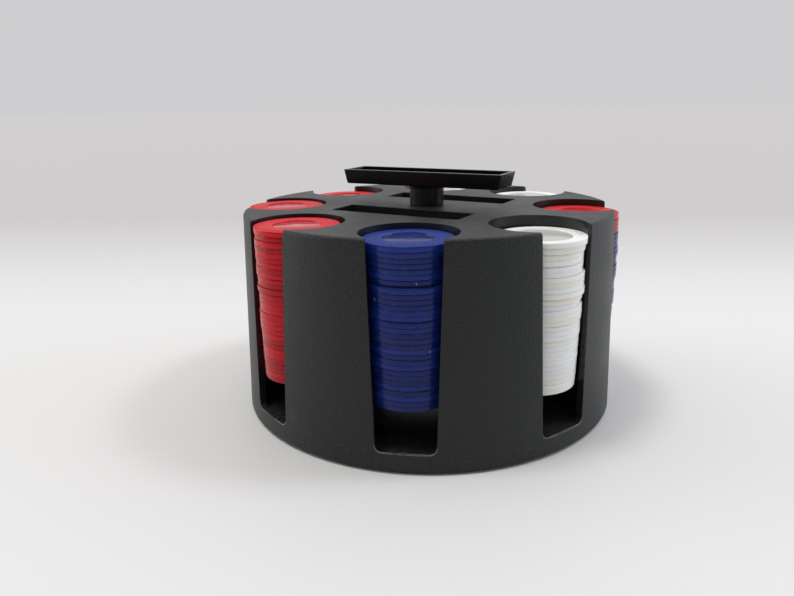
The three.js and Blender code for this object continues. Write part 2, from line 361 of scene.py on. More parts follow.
def pebbled_black():
    """The drum's outside: a fine leather-like moulding grain, with dust, handling marks and a painted
    highlight along the window sills.
    """
    s = Shader("pebbled_black", 0.46, 0.36)
    grain = s.cells(1350, "SMOOTH_F1", smooth=0.5)
    fine = s.noise(4200, 2.0)
    patches = s.noise(34, 4.0, 0.6)
    rubbed = s.ramp(s.noise(90, 5.0, 0.65), 0.60, 0.76)
    colour = s.mix(patches, rgb(0.011, 0.0125, 0.012), rgb(0.019, 0.0205, 0.020))
    colour = s.mix(s.ramp(grain, 0.2, 0.6, 0.0, 0.5), colour, rgb(0.007, 0.008, 0.0078))
    colour = s.mix(s.math("MULTIPLY", rubbed, 0.20), colour, rgb(0.045, 0.046, 0.045))
    dust = s.math("MULTIPLY", dust_near_floor(s), s.ramp(s.noise(700, 3.0, 0.7), 0.60, 0.74))
    colour = s.mix(s.math("MULTIPLY", dust, 0.45), colour, rgb(0.16, 0.16, 0.155))
    colour = specks(s, colour, 900, 0.10, rgb(0.30, 0.30, 0.29))
    # painted highlight: a light line along each window's sill and lower corners
    colour = s.mix(s.math("MULTIPLY", painted_sill_highlight(s), 0.8), colour, rgb(0.24, 0.245, 0.24))
    roughness = s.math("ADD", s.ramp(patches, 0.3, 0.7, 0.42, 0.49), s.math("MULTIPLY", rubbed, -0.05))
    normal = s.bump(grain, 0.24 * MM, 0.9)
    normal = s.bump(fine, 0.03 * MM, 0.4, normal)
    return s.finish(colour, roughness, normal)


def painted_sill_highlight(s):
    """1 along the bottom edge and lower corners of each window, where a highlight is painted on the
    rounded lip.
    """
    xyz = s.node("ShaderNodeSeparateXYZ", Vector=s.place).outputs
    share = s.math("MULTIPLY", s.math("ARCTAN2", xyz["Y"], xyz["X"]), WELLS / (2 * math.pi))
    turn = s.math("SUBTRACT", s.math("FRACT", share), 0.5)
    sideways = s.math("ABSOLUTE", s.math("MULTIPLY", turn, 2 * math.pi / WELLS * DRUM_R_BOTTOM))
    straight = WINDOW_HALF_BOTTOM - WINDOW_CORNER
    past_side = s.math("MAXIMUM", s.math("SUBTRACT", sideways, straight), 0.0)
    below = s.math("MAXIMUM", s.math("SUBTRACT", POCKET_FLOOR + WINDOW_CORNER, xyz["Z"]), 0.0)
    squared = s.math("ADD", s.math("MULTIPLY", past_side, past_side), s.math("MULTIPLY", below, below))
    off_edge = s.math("SUBTRACT", s.math("SQRT", squared), WINDOW_CORNER)
    edge = s.ramp(off_edge, 0.35 * MM, 0.60 * MM, 1.0, 0.0)
    low = s.ramp(xyz["Z"], POCKET_FLOOR + 0.4 * WINDOW_CORNER, POCKET_FLOOR + 1.3 * WINDOW_CORNER,
                 1.0, 0.0)
    patchy = s.ramp(s.noise(260, 2.0), 0.30, 0.55, 0.35, 1.0)
    return s.math("MULTIPLY", s.math("MULTIPLY", edge, low), patchy)


def dust_near_floor(s):
    """1 close to the table, 0 higher up."""
    height = s.node("ShaderNodeSeparateXYZ", Vector=s.place).outputs["Z"]
    return s.ramp(height, 0.002, 0.022, 1.0, 0.0)


def specks(s, colour, scale, size, speck):
    """Sparse bright specks: lint and dust. Only some cells of the pattern hold one."""
    near = s.ramp(s.cells(scale), size * 0.5, size, 1.0, 0.0)
    chosen = s.ramp(s.noise(150, 1.0), 0.66, 0.70)
    return s.mix(s.math("MULTIPLY", near, chosen), colour, speck)


def smooth_black():
    """Inside the wells and slots: the polished side of the mould, with dust on its floors."""
    s = Shader("smooth_black", 0.3, 0.5)
    clouds = s.noise(60, 4.0, 0.6)
    colour = s.mix(clouds, rgb(0.011, 0.0115, 0.0112), rgb(0.017, 0.0175, 0.017))
    film = s.math("MULTIPLY", s.facing_up(), s.ramp(s.noise(420, 4.0, 0.7), 0.45, 0.72))
    colour = s.mix(s.math("MULTIPLY", film, 0.25), colour, rgb(0.13, 0.13, 0.125))
    colour = specks(s, colour, 900, 0.11, rgb(0.35, 0.35, 0.34))
    roughness = s.math("ADD", s.ramp(clouds, 0.3, 0.7, 0.24, 0.36), s.math("MULTIPLY", film, 0.25))
    return s.finish(colour, roughness, s.bump(s.noise(900, 2.0, 0.6), 0.012 * MM, 0.3))


def handle_black(name, low, high, specular):
    """The polished bar and its slightly duller post, whose lighter black is painted reflection, with a
    painted highlight along the bar's rim.
    """
    s = Shader(name, 0.3, specular)
    clouds = s.noise(40, 4.0, 0.6)
    colour = s.mix(clouds, low, high)
    # painted highlight: a lighter line along the bar's rim
    colour = s.mix(s.math("MULTIPLY", s.attribute("painted_rim_highlight"), 0.5), colour, rgb(0.10, 0.10, 0.10))
    colour = specks(s, colour, 900, 0.08, rgb(0.25, 0.25, 0.24))
    roughness = s.ramp(s.noise(210, 3.0, 0.6), 0.35, 0.65, 0.18, 0.27)
    return s.finish(colour, roughness, s.bump(s.noise(700, 3.0), 0.008 * MM, 0.25))


def chip_plastic(name, low, high, scuff, disc, translucency, age=None):
    """Moulded chip: each chip has its own tone, faint mould swirls, rubbed edges and specks. The ring
    of its face is duller than its edge and its disc. The sunk disc's colour is painted shade and sheen."""
    s = Shader(name, 0.2, 0.22)
    colour = s.mix(s.attribute("chip_tone"), low, high)
    if age is not None:
        colour = s.mix(s.ramp(s.attribute("chip_age"), 0.45, 1.0, 0.0, 0.8), colour, age)
    swirl = s.noise(60, 2.0, 0.5)
    colour = s.mix(s.math("MULTIPLY", s.ramp(swirl, 0.5, 0.8), 0.05), colour, scuff)
    rubbed = s.math("MULTIPLY", s.attribute("chip_edge"), s.ramp(s.noise(300, 2.0, 0.5), 0.45, 0.70))
    colour = s.mix(s.math("MULTIPLY", rubbed, 0.08), colour, scuff)
    in_disc = s.attribute("chip_disc")
    # painted shade and sheen: the sunk disc's own colour stands for the shade and sheen of the recess
    colour = s.mix(s.math("MULTIPLY", in_disc, 0.7), colour, disc)
    colour = specks(s, colour, 480, 0.13, rgb(0.80, 0.80, 0.80))
    roughness = s.math("ADD", s.ramp(swirl, 0.3, 0.7, 0.15, 0.24), s.math("MULTIPLY", rubbed, 0.12))
    ring = s.math("MULTIPLY", s.facing_up(), s.math("SUBTRACT", 1.0, in_disc))
    roughness = s.math("ADD", roughness, s.math("MULTIPLY", ring, 0.32))
    s.bsdf.inputs["Subsurface Weight"].default_value = translucency
    s.bsdf.inputs["Subsurface Radius"].default_value = SUBSURFACE_RADIUS
    s.bsdf.inputs["Subsurface Scale"].default_value = 1.0
    return s.finish(colour, roughness, s.bump(s.noise(220, 2.0), 0.02 * MM, 0.15))


def metal(name, low, high, roughness):
    s = Shader(name, roughness, 0.5, 1.0)
    clouds = s.noise(240, 4.0, 0.6)
    colour = s.mix(clouds, low, high)
    return s.finish(colour, s.ramp(clouds, 0.3, 0.7, roughness - 0.06, roughness + 0.1),
                    s.bump(s.noise(2600, 2.0), 0.01 * MM, 0.4))


def dull(name, low, high, roughness, scale):
    """A plain matt material with a fine grain, for rubber and nylon."""
    s = Shader(name, roughness)
    clouds = s.noise(90, 4.0, 0.6)
    worn = s.ramp(clouds, 0.3, 0.7, roughness - 0.07, roughness + 0.05)
    return s.finish(s.mix(clouds, low, high), worn, s.bump(s.noise(scale, 3.0), 0.03 * MM, 0.5))


PEBBLED = pebbled_black()
SMOOTH = smooth_black()
HANDLE = handle_black("handle_black", rgb(0.0032, 0.0036, 0.0035), rgb(0.0055, 0.0060, 0.0058), 0.11)
# the post's black is lighter than the bar's: painted reflection
POST = handle_black("post_black", rgb(0.014, 0.016, 0.017), rgb(0.020, 0.022, 0.023), 0.3)
BASE = dull("base_black", rgb(0.014, 0.014, 0.014), rgb(0.024, 0.024, 0.024), 0.5, 1800)
STEEL = metal("zinc_steel", rgb(0.46, 0.46, 0.47), rgb(0.62, 0.62, 0.61), 0.32)
BRASS = metal("brass", rgb(0.55, 0.38, 0.16), rgb(0.72, 0.54, 0.27), 0.3)
RUBBER = dull("rubber", rgb(0.025, 0.025, 0.025), rgb(0.045, 0.045, 0.044), 0.8, 2400)
NYLON = dull("nylon", rgb(0.70, 0.68, 0.62), rgb(0.80, 0.79, 0.74), 0.45, 1500)
CHIP_LOOKS = {
    "red": chip_plastic(
        "red_chips", low=rgb(0.37, 0.004, 0.014), high=rgb(0.63, 0.006, 0.014),
        scuff=rgb(0.80, 0.16, 0.18), disc=rgb(0.52, 0.05, 0.062), translucency=0.06),
    "blue": chip_plastic(
        "blue_chips", low=rgb(0.004, 0.010, 0.090), high=rgb(0.008, 0.028, 0.22),
        scuff=rgb(0.16, 0.20, 0.45), disc=rgb(0.026, 0.042, 0.15), translucency=0.06),
    "white": chip_plastic(
        "white_chips", low=rgb(0.90, 0.89, 0.89), high=rgb(0.95, 0.935, 0.91),
        scuff=rgb(0.95, 0.94, 0.92), disc=rgb(0.44, 0.43, 0.40), translucency=0.24,
        age=rgb(0.91, 0.86, 0.75)),
}


# ---- drum ------------------------------------------------------------------------
def drum_radius(z):
    share = (z - DRUM_BOTTOM) / (DRUM_TOP - DRUM_BOTTOM)
    return DRUM_R_BOTTOM + (DRUM_R_TOP - DRUM_R_BOTTOM) * share


def outer_radius(z):
    """The radius of the drum's outer surface at a height, its rounded top edge included."""
    centre_z = DRUM_TOP - EDGE_ROUND
    if z <= centre_z:
        return drum_radius(z)
    up = min(z - centre_z, EDGE_ROUND * 0.999)
    return drum_radius(centre_z) - EDGE_ROUND + math.sqrt(EDGE_ROUND ** 2 - up ** 2)


def drum_blank():
    """The drum before anything is cut: a drafted disc with a bevelled foot and a rounded top edge."""
    foot = 0.5 * MM
    levels = 8
    bottom_r = drum_radius(DRUM_BOTTOM)
    profile = [(bottom_r - foot, DRUM_BOTTOM), (bottom_r, DRUM_BOTTOM + foot)]
    centre_z = DRUM_TOP - EDGE_ROUND
    profile += [(drum_radius(z), z) for z in np.linspace(DRUM_BOTTOM + foot, centre_z, levels)[1:-1]]
    profile += arc((drum_radius(centre_z) - EDGE_ROUND, centre_z), EDGE_ROUND, 0, 90, 8)
    return lathe("drum", profile, 288)


def prism(name, outline, low, high):
    """An upright solid on an outline of (point, normal)."""
    return rings_mesh(name, [[(x, y, z) for (x, y), _ in outline] for z in (low, high)])


def plate(name, x_low, x_high, half_y, low, high):
    """An upright rectangular plate across the X axis."""
    corners = [(x_low, -half_y), (x_high, -half_y), (x_high, half_y), (x_low, half_y)]
    return rings_mesh(name, [[(x, y, z) for x, y in corners] for z in (low, high)])


def placed(mesh, place):
    mesh.transform(place)
    return mesh


def shell_hollow():
    """What is hollow under the drum: the inside of the shell less the walls that stand in it."""
    low, high = -2 * OVERLAP, DRUM_TOP - TOP_PLATE
    hollow = new_object("hollow", lathe("hollow", [
        (drum_radius(low) - SKIN, low), (drum_radius(high) - SKIN, high)], 192))
    top = DRUM_TOP - OVERLAP
    walls = []
    for index in range(WELLS):
        tube = prism("tube", circle_outline(WELL_R + WALL, 64), UNDERSIDE, top)
        walls.append(placed(tube, well_place(index)))
        rib = plate("rib", *RIB_REACH, RIB_HALF, UNDERSIDE, top)
        walls.append(placed(rib, Matrix.Rotation(well_turn(index) + math.pi / WELLS, 4, "Z")))
    outline = rounded_outline(CARD_HALF_X + WALL, CARD_HALF_Y + WALL, CARD_CORNER + WALL)
    walls += [placed(prism("cards", outline, UNDERSIDE, top), slot_place(side)) for side in (-1, 1)]
    inner, outer = TRACK
    walls.append(ring_lathe("track", [
        (inner, UNDERSIDE), (outer, UNDERSIDE), (outer, TRACK_TOP), (inner, TRACK_TOP)], 128))
    walls.append(prism("hub", circle_outline(HUB_R, 48), HUB_BOTTOM, top))
    walls.append(plate("hub_rib", -HUB_RIB_X, HUB_RIB_X, RIB_HALF, HUB_BOTTOM, top))
    walls.append(plate("hub_rib", -RIB_HALF, RIB_HALF, HUB_RIB_Y, HUB_BOTTOM + 0.01 * MM, top))
    return cut(hollow, [new_object("wall", mesh) for mesh in walls])


def window_outline():
    """The window's outline as [(sideways, height, normal)], from the top right round the sill."""
    top = DRUM_TOP + 2 * OVERLAP
    slope = (WINDOW_HALF_TOP - WINDOW_HALF_BOTTOM) / (DRUM_TOP - POCKET_FLOOR)

    def half_at(z):
        return WINDOW_HALF_BOTTOM + slope * (z - POCKET_FLOOR)

    corner_z = POCKET_FLOOR + WINDOW_CORNER
    rounding_starts = DRUM_TOP - EDGE_ROUND
    heights = [*np.linspace(corner_z, rounding_starts, 14),
               *np.linspace(rounding_starts, DRUM_TOP, 9)[1:], top]
    right = [(half_at(z), z, (1.0, 0.0)) for z in heights]
    steps = 7
    straight = half_at(corner_z) - WINDOW_CORNER
    corner = []
    for i in range(1, steps + 1):
        a = math.radians(90 * i / steps)
        n = (math.cos(a), -math.sin(a))
        corner.append((straight + WINDOW_CORNER * n[0], corner_z + WINDOW_CORNER * n[1], n))
    half = list(reversed(right)) + corner
    mirrored = [(-t, z, (-n[0], n[1])) for t, z, n in reversed(half)]
    return half + mirrored


def window_cutter():
    """The cutter of a window, in the drum's frame with the well along +X. It widens by the lip at
    the drum's outer face. A level is (depth past that face, widening), and the first is in the well."""
    outline = window_outline()
    steps = 5
    levels = [(None, 0.0)]
    levels += [(-LIP + LIP * i / steps, flare(LIP * i / steps, LIP)) for i in range(steps + 1)]
    levels += [(4 * OVERLAP, LIP)]
    rings = []
    for depth, out in levels:
        ring = []
        for t, z, n in outline:
            side, height = t + n[0] * out, z + n[1] * out
            if depth is None:
                x = WELL_CENTRE + 2 * OVERLAP
            else:
                x = math.sqrt(outer_radius(z) ** 2 - side ** 2) + depth
            ring.append((x, side, height))
        rings.append(ring)
    return rings_mesh("window", rings)


def half_round(name, radius, inner, low, high):
    """A half disc in a well's frame: the outer half, or the inner half set back by the wall."""
    steps = 48
    turn = 90 if inner else -90
    shift = -WALL if inner else 0.0
    reach = math.degrees(math.asin(WALL / radius)) if inner else 0.0
    outline = []
    for i in range(steps + 1):
        a = math.radians(turn + reach + (180 - 2 * reach) * i / steps)
        outline.append((radius * math.cos(a), radius * math.sin(a)))
    outline[0] = (shift, outline[0][1])
    outline[-1] = (shift, outline[-1][1])
    return rings_mesh(name, [[(x, y, z) for x, y in outline] for z in (low, high)])


def well_cutters(index):
    """The shaft, the finger pocket, the hollow under the pedestal and the window of one well."""
    place = well_place(index)
    shaft = mouth_cutter("shaft", circle_outline(WELL_R, 96), PEDESTAL_TOP, WELL_R - WELL_R_LOW)
    pocket = half_round("pocket", WELL_R_LOW, False, POCKET_FLOOR, PEDESTAL_TOP + OVERLAP / 2)
    under = half_round("under", WELL_R, True, UNDERSIDE - 2 * OVERLAP, PEDESTAL_TOP - WALL)
    window = placed(window_cutter(), Matrix.Rotation(well_turn(index), 4, "Z"))
    return [placed(mesh, place) for mesh in (shaft, pocket, under)] + [window]


def make_drum():
    meshes = [mesh for index in range(WELLS) for mesh in well_cutters(index)]
    for side in (-1, 1):
        outline = rounded_outline(CARD_HALF_X, CARD_HALF_Y, CARD_CORNER)
        meshes.append(placed(mouth_cutter("slot", outline, CARD_FLOOR), slot_place(side)))
    meshes.append(prism("bore", circle_outline(BORE_R, 48), BORE_BOTTOM, DRUM_TOP + OVERLAP))
    drum = new_object("drum_moulding", drum_blank())
    cut(drum, [shell_hollow()] + [new_object("cutter", mesh) for mesh in meshes])
    tidy_mesh(drum.data)
    paint_drum(drum)
    return shade(drum, 30)


def paint_drum(drum):
    """Grain on the outside and the top, the polished finish everywhere inside."""
    mesh = drum.data
    mesh.materials.clear()
    mesh.materials.append(PEBBLED)
    mesh.materials.append(SMOOTH)
    side_depth, top_depth = 0.9 * MM, 0.8 * MM         # faces nearer the outside than this are grained
    for face in mesh.polygons:
        centre, normal = face.center, face.normal
        radius = centre.to_2d().length
        outward = normal.x * centre.x + normal.y * centre.y > 0.25 * radius
        outside = outward and radius > outer_radius(centre.z) - side_depth
        on_top = centre.z > DRUM_TOP - top_depth and normal.z > 0.3
        face.material_index = 0 if outside or on_top else 1


def mark_painted_rim_highlight(mesh, height):
    """Stores 1 at the points above a height, along the bar's rim where a highlight is painted, and 0
    below.
    """
    layer = mesh.attributes.new("painted_rim_highlight", "FLOAT", "POINT")
    layer.data.foreach_set("value", [float(vertex.co.z > height) for vertex in mesh.vertices])


# ---- handle ----------------------------------------------------------------------
HANDLE_LOW, HANDLE_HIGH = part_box("handle_bar")
HANDLE_TURN = math.radians(2)
BAR_HALF_LENGTH = 42.9 * MM        # at the rim
BAR_HALF_WIDTH = 10 * MM
BAR_FLARE = 1.04                   # the rim's size over the foot's
BAR_WALL = 1.8 * MM
BAR_FLOOR = 2 * MM

STEM_R = 8.55 * MM
STEM_BORE_R = 5.3 * MM             # the bore that holds the threaded insert
STEM_BORE_DEPTH = 7.9 * MM


def make_handle_bar():
    """A trough with flared walls: outside up, over the rounded rim, and down the inside."""
    low, high = HANDLE_LOW.z, HANDLE_HIGH.z
    floor = low + BAR_FLOOR
    rim, foot, inner_foot, corner = 0.25 * MM, 0.35 * MM, 0.7 * MM, 0.6 * MM
    quarter = [math.radians(a) for a in (0, 30, 60, 90)]

    def loop(inset, z):
        share = (z - low) / (high - low)
        shrink = 1 - (1 - share) * (1 - 1 / BAR_FLARE)
        half_x, half_y = BAR_HALF_LENGTH * shrink - inset, BAR_HALF_WIDTH * shrink - inset
        soft = max(corner - inset * 0.3, 0.3 * MM)
        return [(x, y, z) for (x, y), _ in rounded_outline(half_x, half_y, soft, 4)]

    rings = [loop(foot - foot * math.sin(a), low + foot - foot * math.cos(a)) for a in quarter]
    rings += [loop(rim - rim * math.cos(a), high - rim + rim * math.sin(a)) for a in quarter]
    rings += [loop(BAR_WALL - rim + rim * math.sin(a), high - rim + rim * math.cos(a)) for a in quarter]
    rings += [loop(BAR_WALL + inner_foot * (1 - math.cos(a)), floor + inner_foot * (1 - math.sin(a)))
              for a in quarter]
    bar = new_object("handle_trough", rings_mesh("handle_trough", rings))
    # marks the rim points that get the painted highlight
    mark_painted_rim_highlight(bar.data, high - 0.15 * MM)
    bar.data.transform(Matrix.Rotation(HANDLE_TURN, 4, "Z"))
    bar.data.materials.append(HANDLE)
    return shade(bar, 40)


def make_handle_post():
    """A plain round stem, open below for the threaded insert, that widens a little under the bar."""
    low, high = (corner.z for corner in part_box("handle_post"))
    soft = 0.3 * MM
    profile = [(STEM_BORE_R, low + STEM_BORE_DEPTH), (STEM_BORE_R, low), (STEM_R - soft, low)]
    profile += arc((STEM_R - soft, low + soft), soft, -60, 0, 3)
    profile += [(STEM_R, high - 1.2 * MM), (STEM_R + 0.3 * MM, high - 0.6 * MM), (STEM_R + 0.4 * MM, high)]
    post = new_object("handle_stem", lathe("handle_stem", profile, 96))
    post.data.materials.append(POST)
    return shade(post, 35)


# ---- chips -----------------------------------------------------------------------
CHIP_STEPS = 240                   # points round a chip
TOOTH_STEPS = 4                    # on a chip whose teeth show: points to a tooth
TOOTHED_STEPS = 96 * TOOTH_STEPS
TOOTH_DEPTH = 0.8 * MM
EDGE_SOFT = 0.10 * MM              # rounding of a chip's two outer edges
DISC_R = {"red": 10.6 * MM, "blue": 10.6 * MM, "white": 13.6 * MM}   # the sunk disc in a chip's middle


def chip_profile(thickness, teeth, disc_r):
    """One chip's section, from the underside over the edge to the face, as (radius, height, in, down,
    rubbed). in and down are how far the points between two teeth are moved. teeth is the height of
    the toothed ring that shows under a chip that hasn't dropped into the teeth of the one below. Only
    a chip whose face shows has a disc_r, the radius of its sunk disc."""
    r, t, soft, deep = CHIP_R, thickness, EDGE_SOFT, TOOTH_DEPTH
    rim = r - 2.0 * MM                                  # where the faces of a buried chip are capped
    section = [(rim, -teeth, 0, 0, 0.0)]
    if teeth:
        section += [(r - 0.08 * MM, -teeth, deep, 0, 0.0), (r - 0.06 * MM, 0.0, deep, 0, 0.0)]
    section += [
        (r - soft, 0.0, 0, 0, 0.5), (r - 0.3 * soft, 0.3 * soft, 0, 0, 1.0), (r, soft, 0, 0, 0.6),
        (r, t / 2, 0, 0, 0.1), (r, t - 1.3 * soft, 0, 0, 0.6),
        (r - 0.4 * soft, t - 0.4 * soft, 0, 0, 1.0), (r - 1.3 * soft, t, 0, 0, 0.8),
    ]
    if not disc_r:
        return section + [(rim, t, 0, 0, 0.0)]
    notch = 0.14 * MM                                   # the face is notched between two teeth
    groove, disc = t - 0.55 * MM, t - 0.36 * MM
    return section + [
        (r - 0.55 * MM, t, 0, 0, 0.5), (r - 0.65 * MM, t - 0.02 * MM, 0, notch, 0.3),
        (r - 1.75 * MM, t - 0.02 * MM, 0, notch, 0.3), (r - 1.85 * MM, t, 0, 0, 0.3),
        (disc_r + 0.45 * MM, t, 0, 0, 0.3), (disc_r + 0.30 * MM, t - 0.03 * MM, 0, 0, 0.6),
        (disc_r + 0.05 * MM, groove, 0, 0, 0.0), (disc_r - 0.35 * MM, groove, 0, 0, 0.0),
        (disc_r - 0.60 * MM, disc, 0, 0, 0.4), (2.0 * MM, disc, 0, 0, 0.0),
    ]


def chip_arrays(thickness, teeth, disc_r):
    """One chip at the origin: points, quads, caps, and the marks of rubbed edges and the sunk disc."""
    profile = chip_profile(thickness, teeth, disc_r)
    steps = TOOTHED_STEPS if teeth or disc_r else CHIP_STEPS
    step = np.arange(steps)
    angles = step * 2 * math.pi / steps
    between = (step % TOOTH_STEPS == TOOTH_STEPS - 1).astype(float)
    rings = []
    for r, z, pull, drop, _ in profile:
        radii = r - between * pull
        rings.append(np.stack([radii * np.cos(angles), radii * np.sin(angles), z - between * drop], 1))
    after = (step + 1) % steps
    quads = np.concatenate([
        np.stack([k * steps + step, k * steps + after, (k + 1) * steps + after, (k + 1) * steps + step], 1)
        for k in range(len(profile) - 1)])
    last = (len(profile) - 1) * steps
    caps = [tuple(range(steps))[::-1], tuple(range(last, last + steps))]
    rubbed = np.repeat([mark for *_, mark in profile], steps)
    disc = np.repeat([float(k >= len(profile) - 2 and disc_r > 0) for k in range(len(profile))], steps)
    return np.concatenate(rings), quads, caps, rubbed, disc


def pile_object(name, chips, colour):
    """One object for a pile of chips. Each chip is (place, thickness, teeth, face_shows, tone, age).
    The chip's tone and age, and its rubbed edges and disc, are stored on its points for the material."""
    points, faces = [], []
    marks = {"chip_edge": [], "chip_disc": [], "chip_tone": [], "chip_age": []}
    start = 0
    for place, thickness, teeth, face_shows, tone, age in chips:
        disc_r = DISC_R[colour] if face_shows else 0.0
        local, quads, caps, rubbed, disc = chip_arrays(thickness, teeth, disc_r)
        points.append(local @ np.array(place.to_3x3()).T + np.array(place.translation))
        faces += (quads + start).tolist()
        faces += [[i + start for i in cap] for cap in caps]
        count = len(local)
        for key, values in (("chip_edge", rubbed), ("chip_disc", disc),
                            ("chip_tone", np.full(count, tone)), ("chip_age", np.full(count, age))):
            marks[key].append(values)
        start += count
    mesh = bpy.data.meshes.new(name)
    mesh.from_pydata(np.concatenate(points).tolist(), [], faces)
    for key, values in marks.items():
        layer = mesh.attributes.new(key, "FLOAT", "POINT")
        layer.data.foreach_set("value", np.concatenate(values).astype(np.float32))
    mesh.update()
    mesh.materials.append(CHIP_LOOKS[colour])
    return shade(new_object(name, mesh), 50, weighted=False)


# How the chips of a well lie, from the bottom up. Each entry holds for its chip and those above it,
# until the next entry: (chip number, outwards mm, to the left mm, gap under that chip mm, tilt degrees).
SLIPS = {
    1: [(0, -0.3, 0, 0, 0), (2, 0.1, 0.1, 0.14, 0), (4, -0.2, 0, 0.12, 0), (8, 0.1, -0.1, 0.18, 0),
        (10, 0, 0.1, 0.1, 0), (11, 0.1, 0.1, 0.08, 0), (13, 0.3, 0, 0.25, 0.3),
        (17, 0.3, -0.1, 0.45, -0.3), (18, 0.1, 0.1, 0, 0), (23, -1.2, -0.2, 0.85, 0),
        (26, -1.0, -0.3, 0.06, 0)],
    2: [(0, 0, 0, 0, 0), (2, 0.1, 0.2, 0.15, 0), (5, 0.3, 0.2, 0.1, 0), (8, 0.5, 0.1, 0.1, 0.2),
        (11, 0.8, 0.2, 0.1, 0), (14, 1.0, 0.3, 0.15, -0.3), (17, 0.3, 0.2, 0.1, 0),
        (18, 0.6, 0.6, 0.15, 0), (19, 1.4, 0.8, 0.45, -0.8), (20, 1.1, 0.7, 0.35, 0),
        (23, 0.3, 0.3, 0.35, 0.5), (25, 0.4, 0.2, 0.45, 0), (27, 0.8, 0.7, 0.45, 0),
        (28, 1.3, 1.0, 0.5, 0)],
    3: [(0, 0.5, 0, 0, 0), (4, 1.1, 0, 0.12, 0), (7, 1.5, 0.1, 0.1, 0), (10, 1.9, 0, 0.2, 0),
        (13, 1.7, 0, 0.1, 0), (16, 2.1, 0, 0.25, 0), (19, 1.8, 0, 0.1, 0), (21, 2.1, 0, 0.3, 0),
        (23, 1.8, 0, 0.15, 0), (26, 1.5, 0, 0.12, 0), (29, 1.2, 0.1, 0.12, 0)],
    4: [(0, 0.2, 0, 0, 0), (4, 0.5, 0.2, 0.15, 0), (9, 0.1, -0.2, 0.12, 0.2), (13, 0.6, 0.1, 0.3, 0),
        (17, 0.3, 0, 0.15, 0), (21, 0.8, -0.3, 0.35, -0.3), (25, 0.2, -0.4, 0.15, 0),
        (28, -0.3, -0.5, 0.1, 0)],
    5: [(0, 0, 0.1, 0, 0), (6, 0.3, 0, 0.2, 0), (10, 0.7, 0.3, 0.15, 0.3), (15, 0.2, 0.1, 0.25, 0),
        (20, -0.2, -0.2, 0.15, 0), (24, 0.5, 0, 0.35, 0), (29, 0.1, 0.1, 0.15, 0)],
    6: [(0, 0.1, 0, 0, 0), (3, 0.5, -0.1, 0.15, 0), (8, 0.3, 0.2, 0.2, 0), (12, 0.9, 0, 0.25, -0.3),
        (16, 0.4, 0.1, 0.12, 0), (20, 0.1, -0.2, 0.15, 0), (26, 0.4, 0, 0.2, 0), (29, 0.2, 0.1, 0.12, 0)],
    7: [(0, 0, 0, 0, 0), (6, 0.3, 0.1, 0.15, 0), (11, -0.2, 0, 0.12, 0), (16, 0.4, 0, 0.2, 0),
        (22, 0.1, 0.2, 0.15, 0), (27, -0.1, 0, 0.12, 0)],
    8: [(0, 0.3, 0, 0, 0), (2, 0.4, 0.1, 0.12, 0), (4, 0.5, 0, 0.15, 0.2), (7, 0.6, 0, 0.12, 0),
        (10, 0.8, -0.1, 0.15, 0), (14, 0.5, 0, 0.15, 0), (18, 1.0, 0.1, 0.28, 0),
        (19, 0.6, 0, 0.1, -0.3), (21, 0.9, 0, 0.2, 0), (23, 0.8, 0, 0.12, 0), (24, 0.9, 0.1, 0.1, 0),
        (28, 0.4, 0, 0.1, 0), (29, 0.9, 0.3, 0.35, 0)],
}
TOOTHED_GAP = 0.2 * MM             # a wider gap than this shows the teeth between two chips
LEAST_TOP_GAP = 0.08 * MM          # keeps the loose top chip clear of the pile
SHUT_GAP = 0.01 * MM               # between two chips that are pushed home
FIRST_SEED = 500
LOOSE = 0.05 * MM                  # random slip of each chip, and its random tilt in degrees
LOOSE_TILT = 0.04
TOP_TONE, TOP_AGE = 1.0, 0.1       # the uppermost chip is clean, and the others are up to
BURIED_TONE = 0.75                 # this share of the way to its tone


def lay_chips(number, counts, top):
    """The chips of one well, bottom up, as pile_object takes them. counts has the number of chips of
    each colour, and top is the height of the uppermost face."""
    count = sum(counts)
    bare = {count - 1, count - 2, counts[0] - 1}        # faces that show, once what is on them is lifted
    dice = random.Random(FIRST_SEED + number)
    slips = {entry[0]: entry[1:] for entry in SLIPS[number]}
    gaps = {k: slip[2] * MM for k, slip in slips.items()}
    gaps[count - 1] = max(gaps.get(count - 1, 0.0), LEAST_TOP_GAP)
    pitch = (top - CHIP_FLOOR - sum(gaps.values())) / count
    chips = []
    z = CHIP_FLOOR
    for k in range(count):
        out, left, _, tilt = slips[max(j for j in slips if j <= k)]
        gap = gaps.get(k, 0.0)
        z += gap
        slip = (out * MM + dice.gauss(0, LOOSE), left * MM + dice.gauss(0, LOOSE), 0)
        tipped = Matrix.Rotation(math.radians(tilt + dice.gauss(0, LOOSE_TILT)), 4, "Y")
        twisted = Matrix.Rotation(dice.uniform(0, 2 * math.pi), 4, "Z")
        place = well_place(number - 1, z) @ Matrix.Translation(slip) @ tipped @ twisted
        teeth = gap if gap > TOOTHED_GAP else 0.0
        tone, age = TOP_TONE, TOP_AGE
        if k < count - 1:
            tone, age = BURIED_TONE * dice.random(), dice.random()
        chips.append((place, pitch - SHUT_GAP, teeth, k in bare, tone, age))
        z += pitch
    return chips


def add_pile(name, chips, colour, body, node):
    """Builds a pile and has it stand for its CAD node."""
    pile = pile_object(name, chips, colour)
    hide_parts(node)
    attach(pile, body)


# What is in each well, bottom up: [(colour, chips)], and the height of the uppermost face in mm.
CONTENTS = {
    1: ([("blue", 30)], 95.8), 2: ([("white", 29)], 93.6), 3: ([("blue", 26), ("red", 4)], 95.3),
    4: ([("white", 30)], 95.9), 5: ([("white", 30)], 95.9), 6: ([("red", 30)], 95.5),
    7: ([("red", 30)], 97.3), 8: ([("red", 30)], 97.0),
}


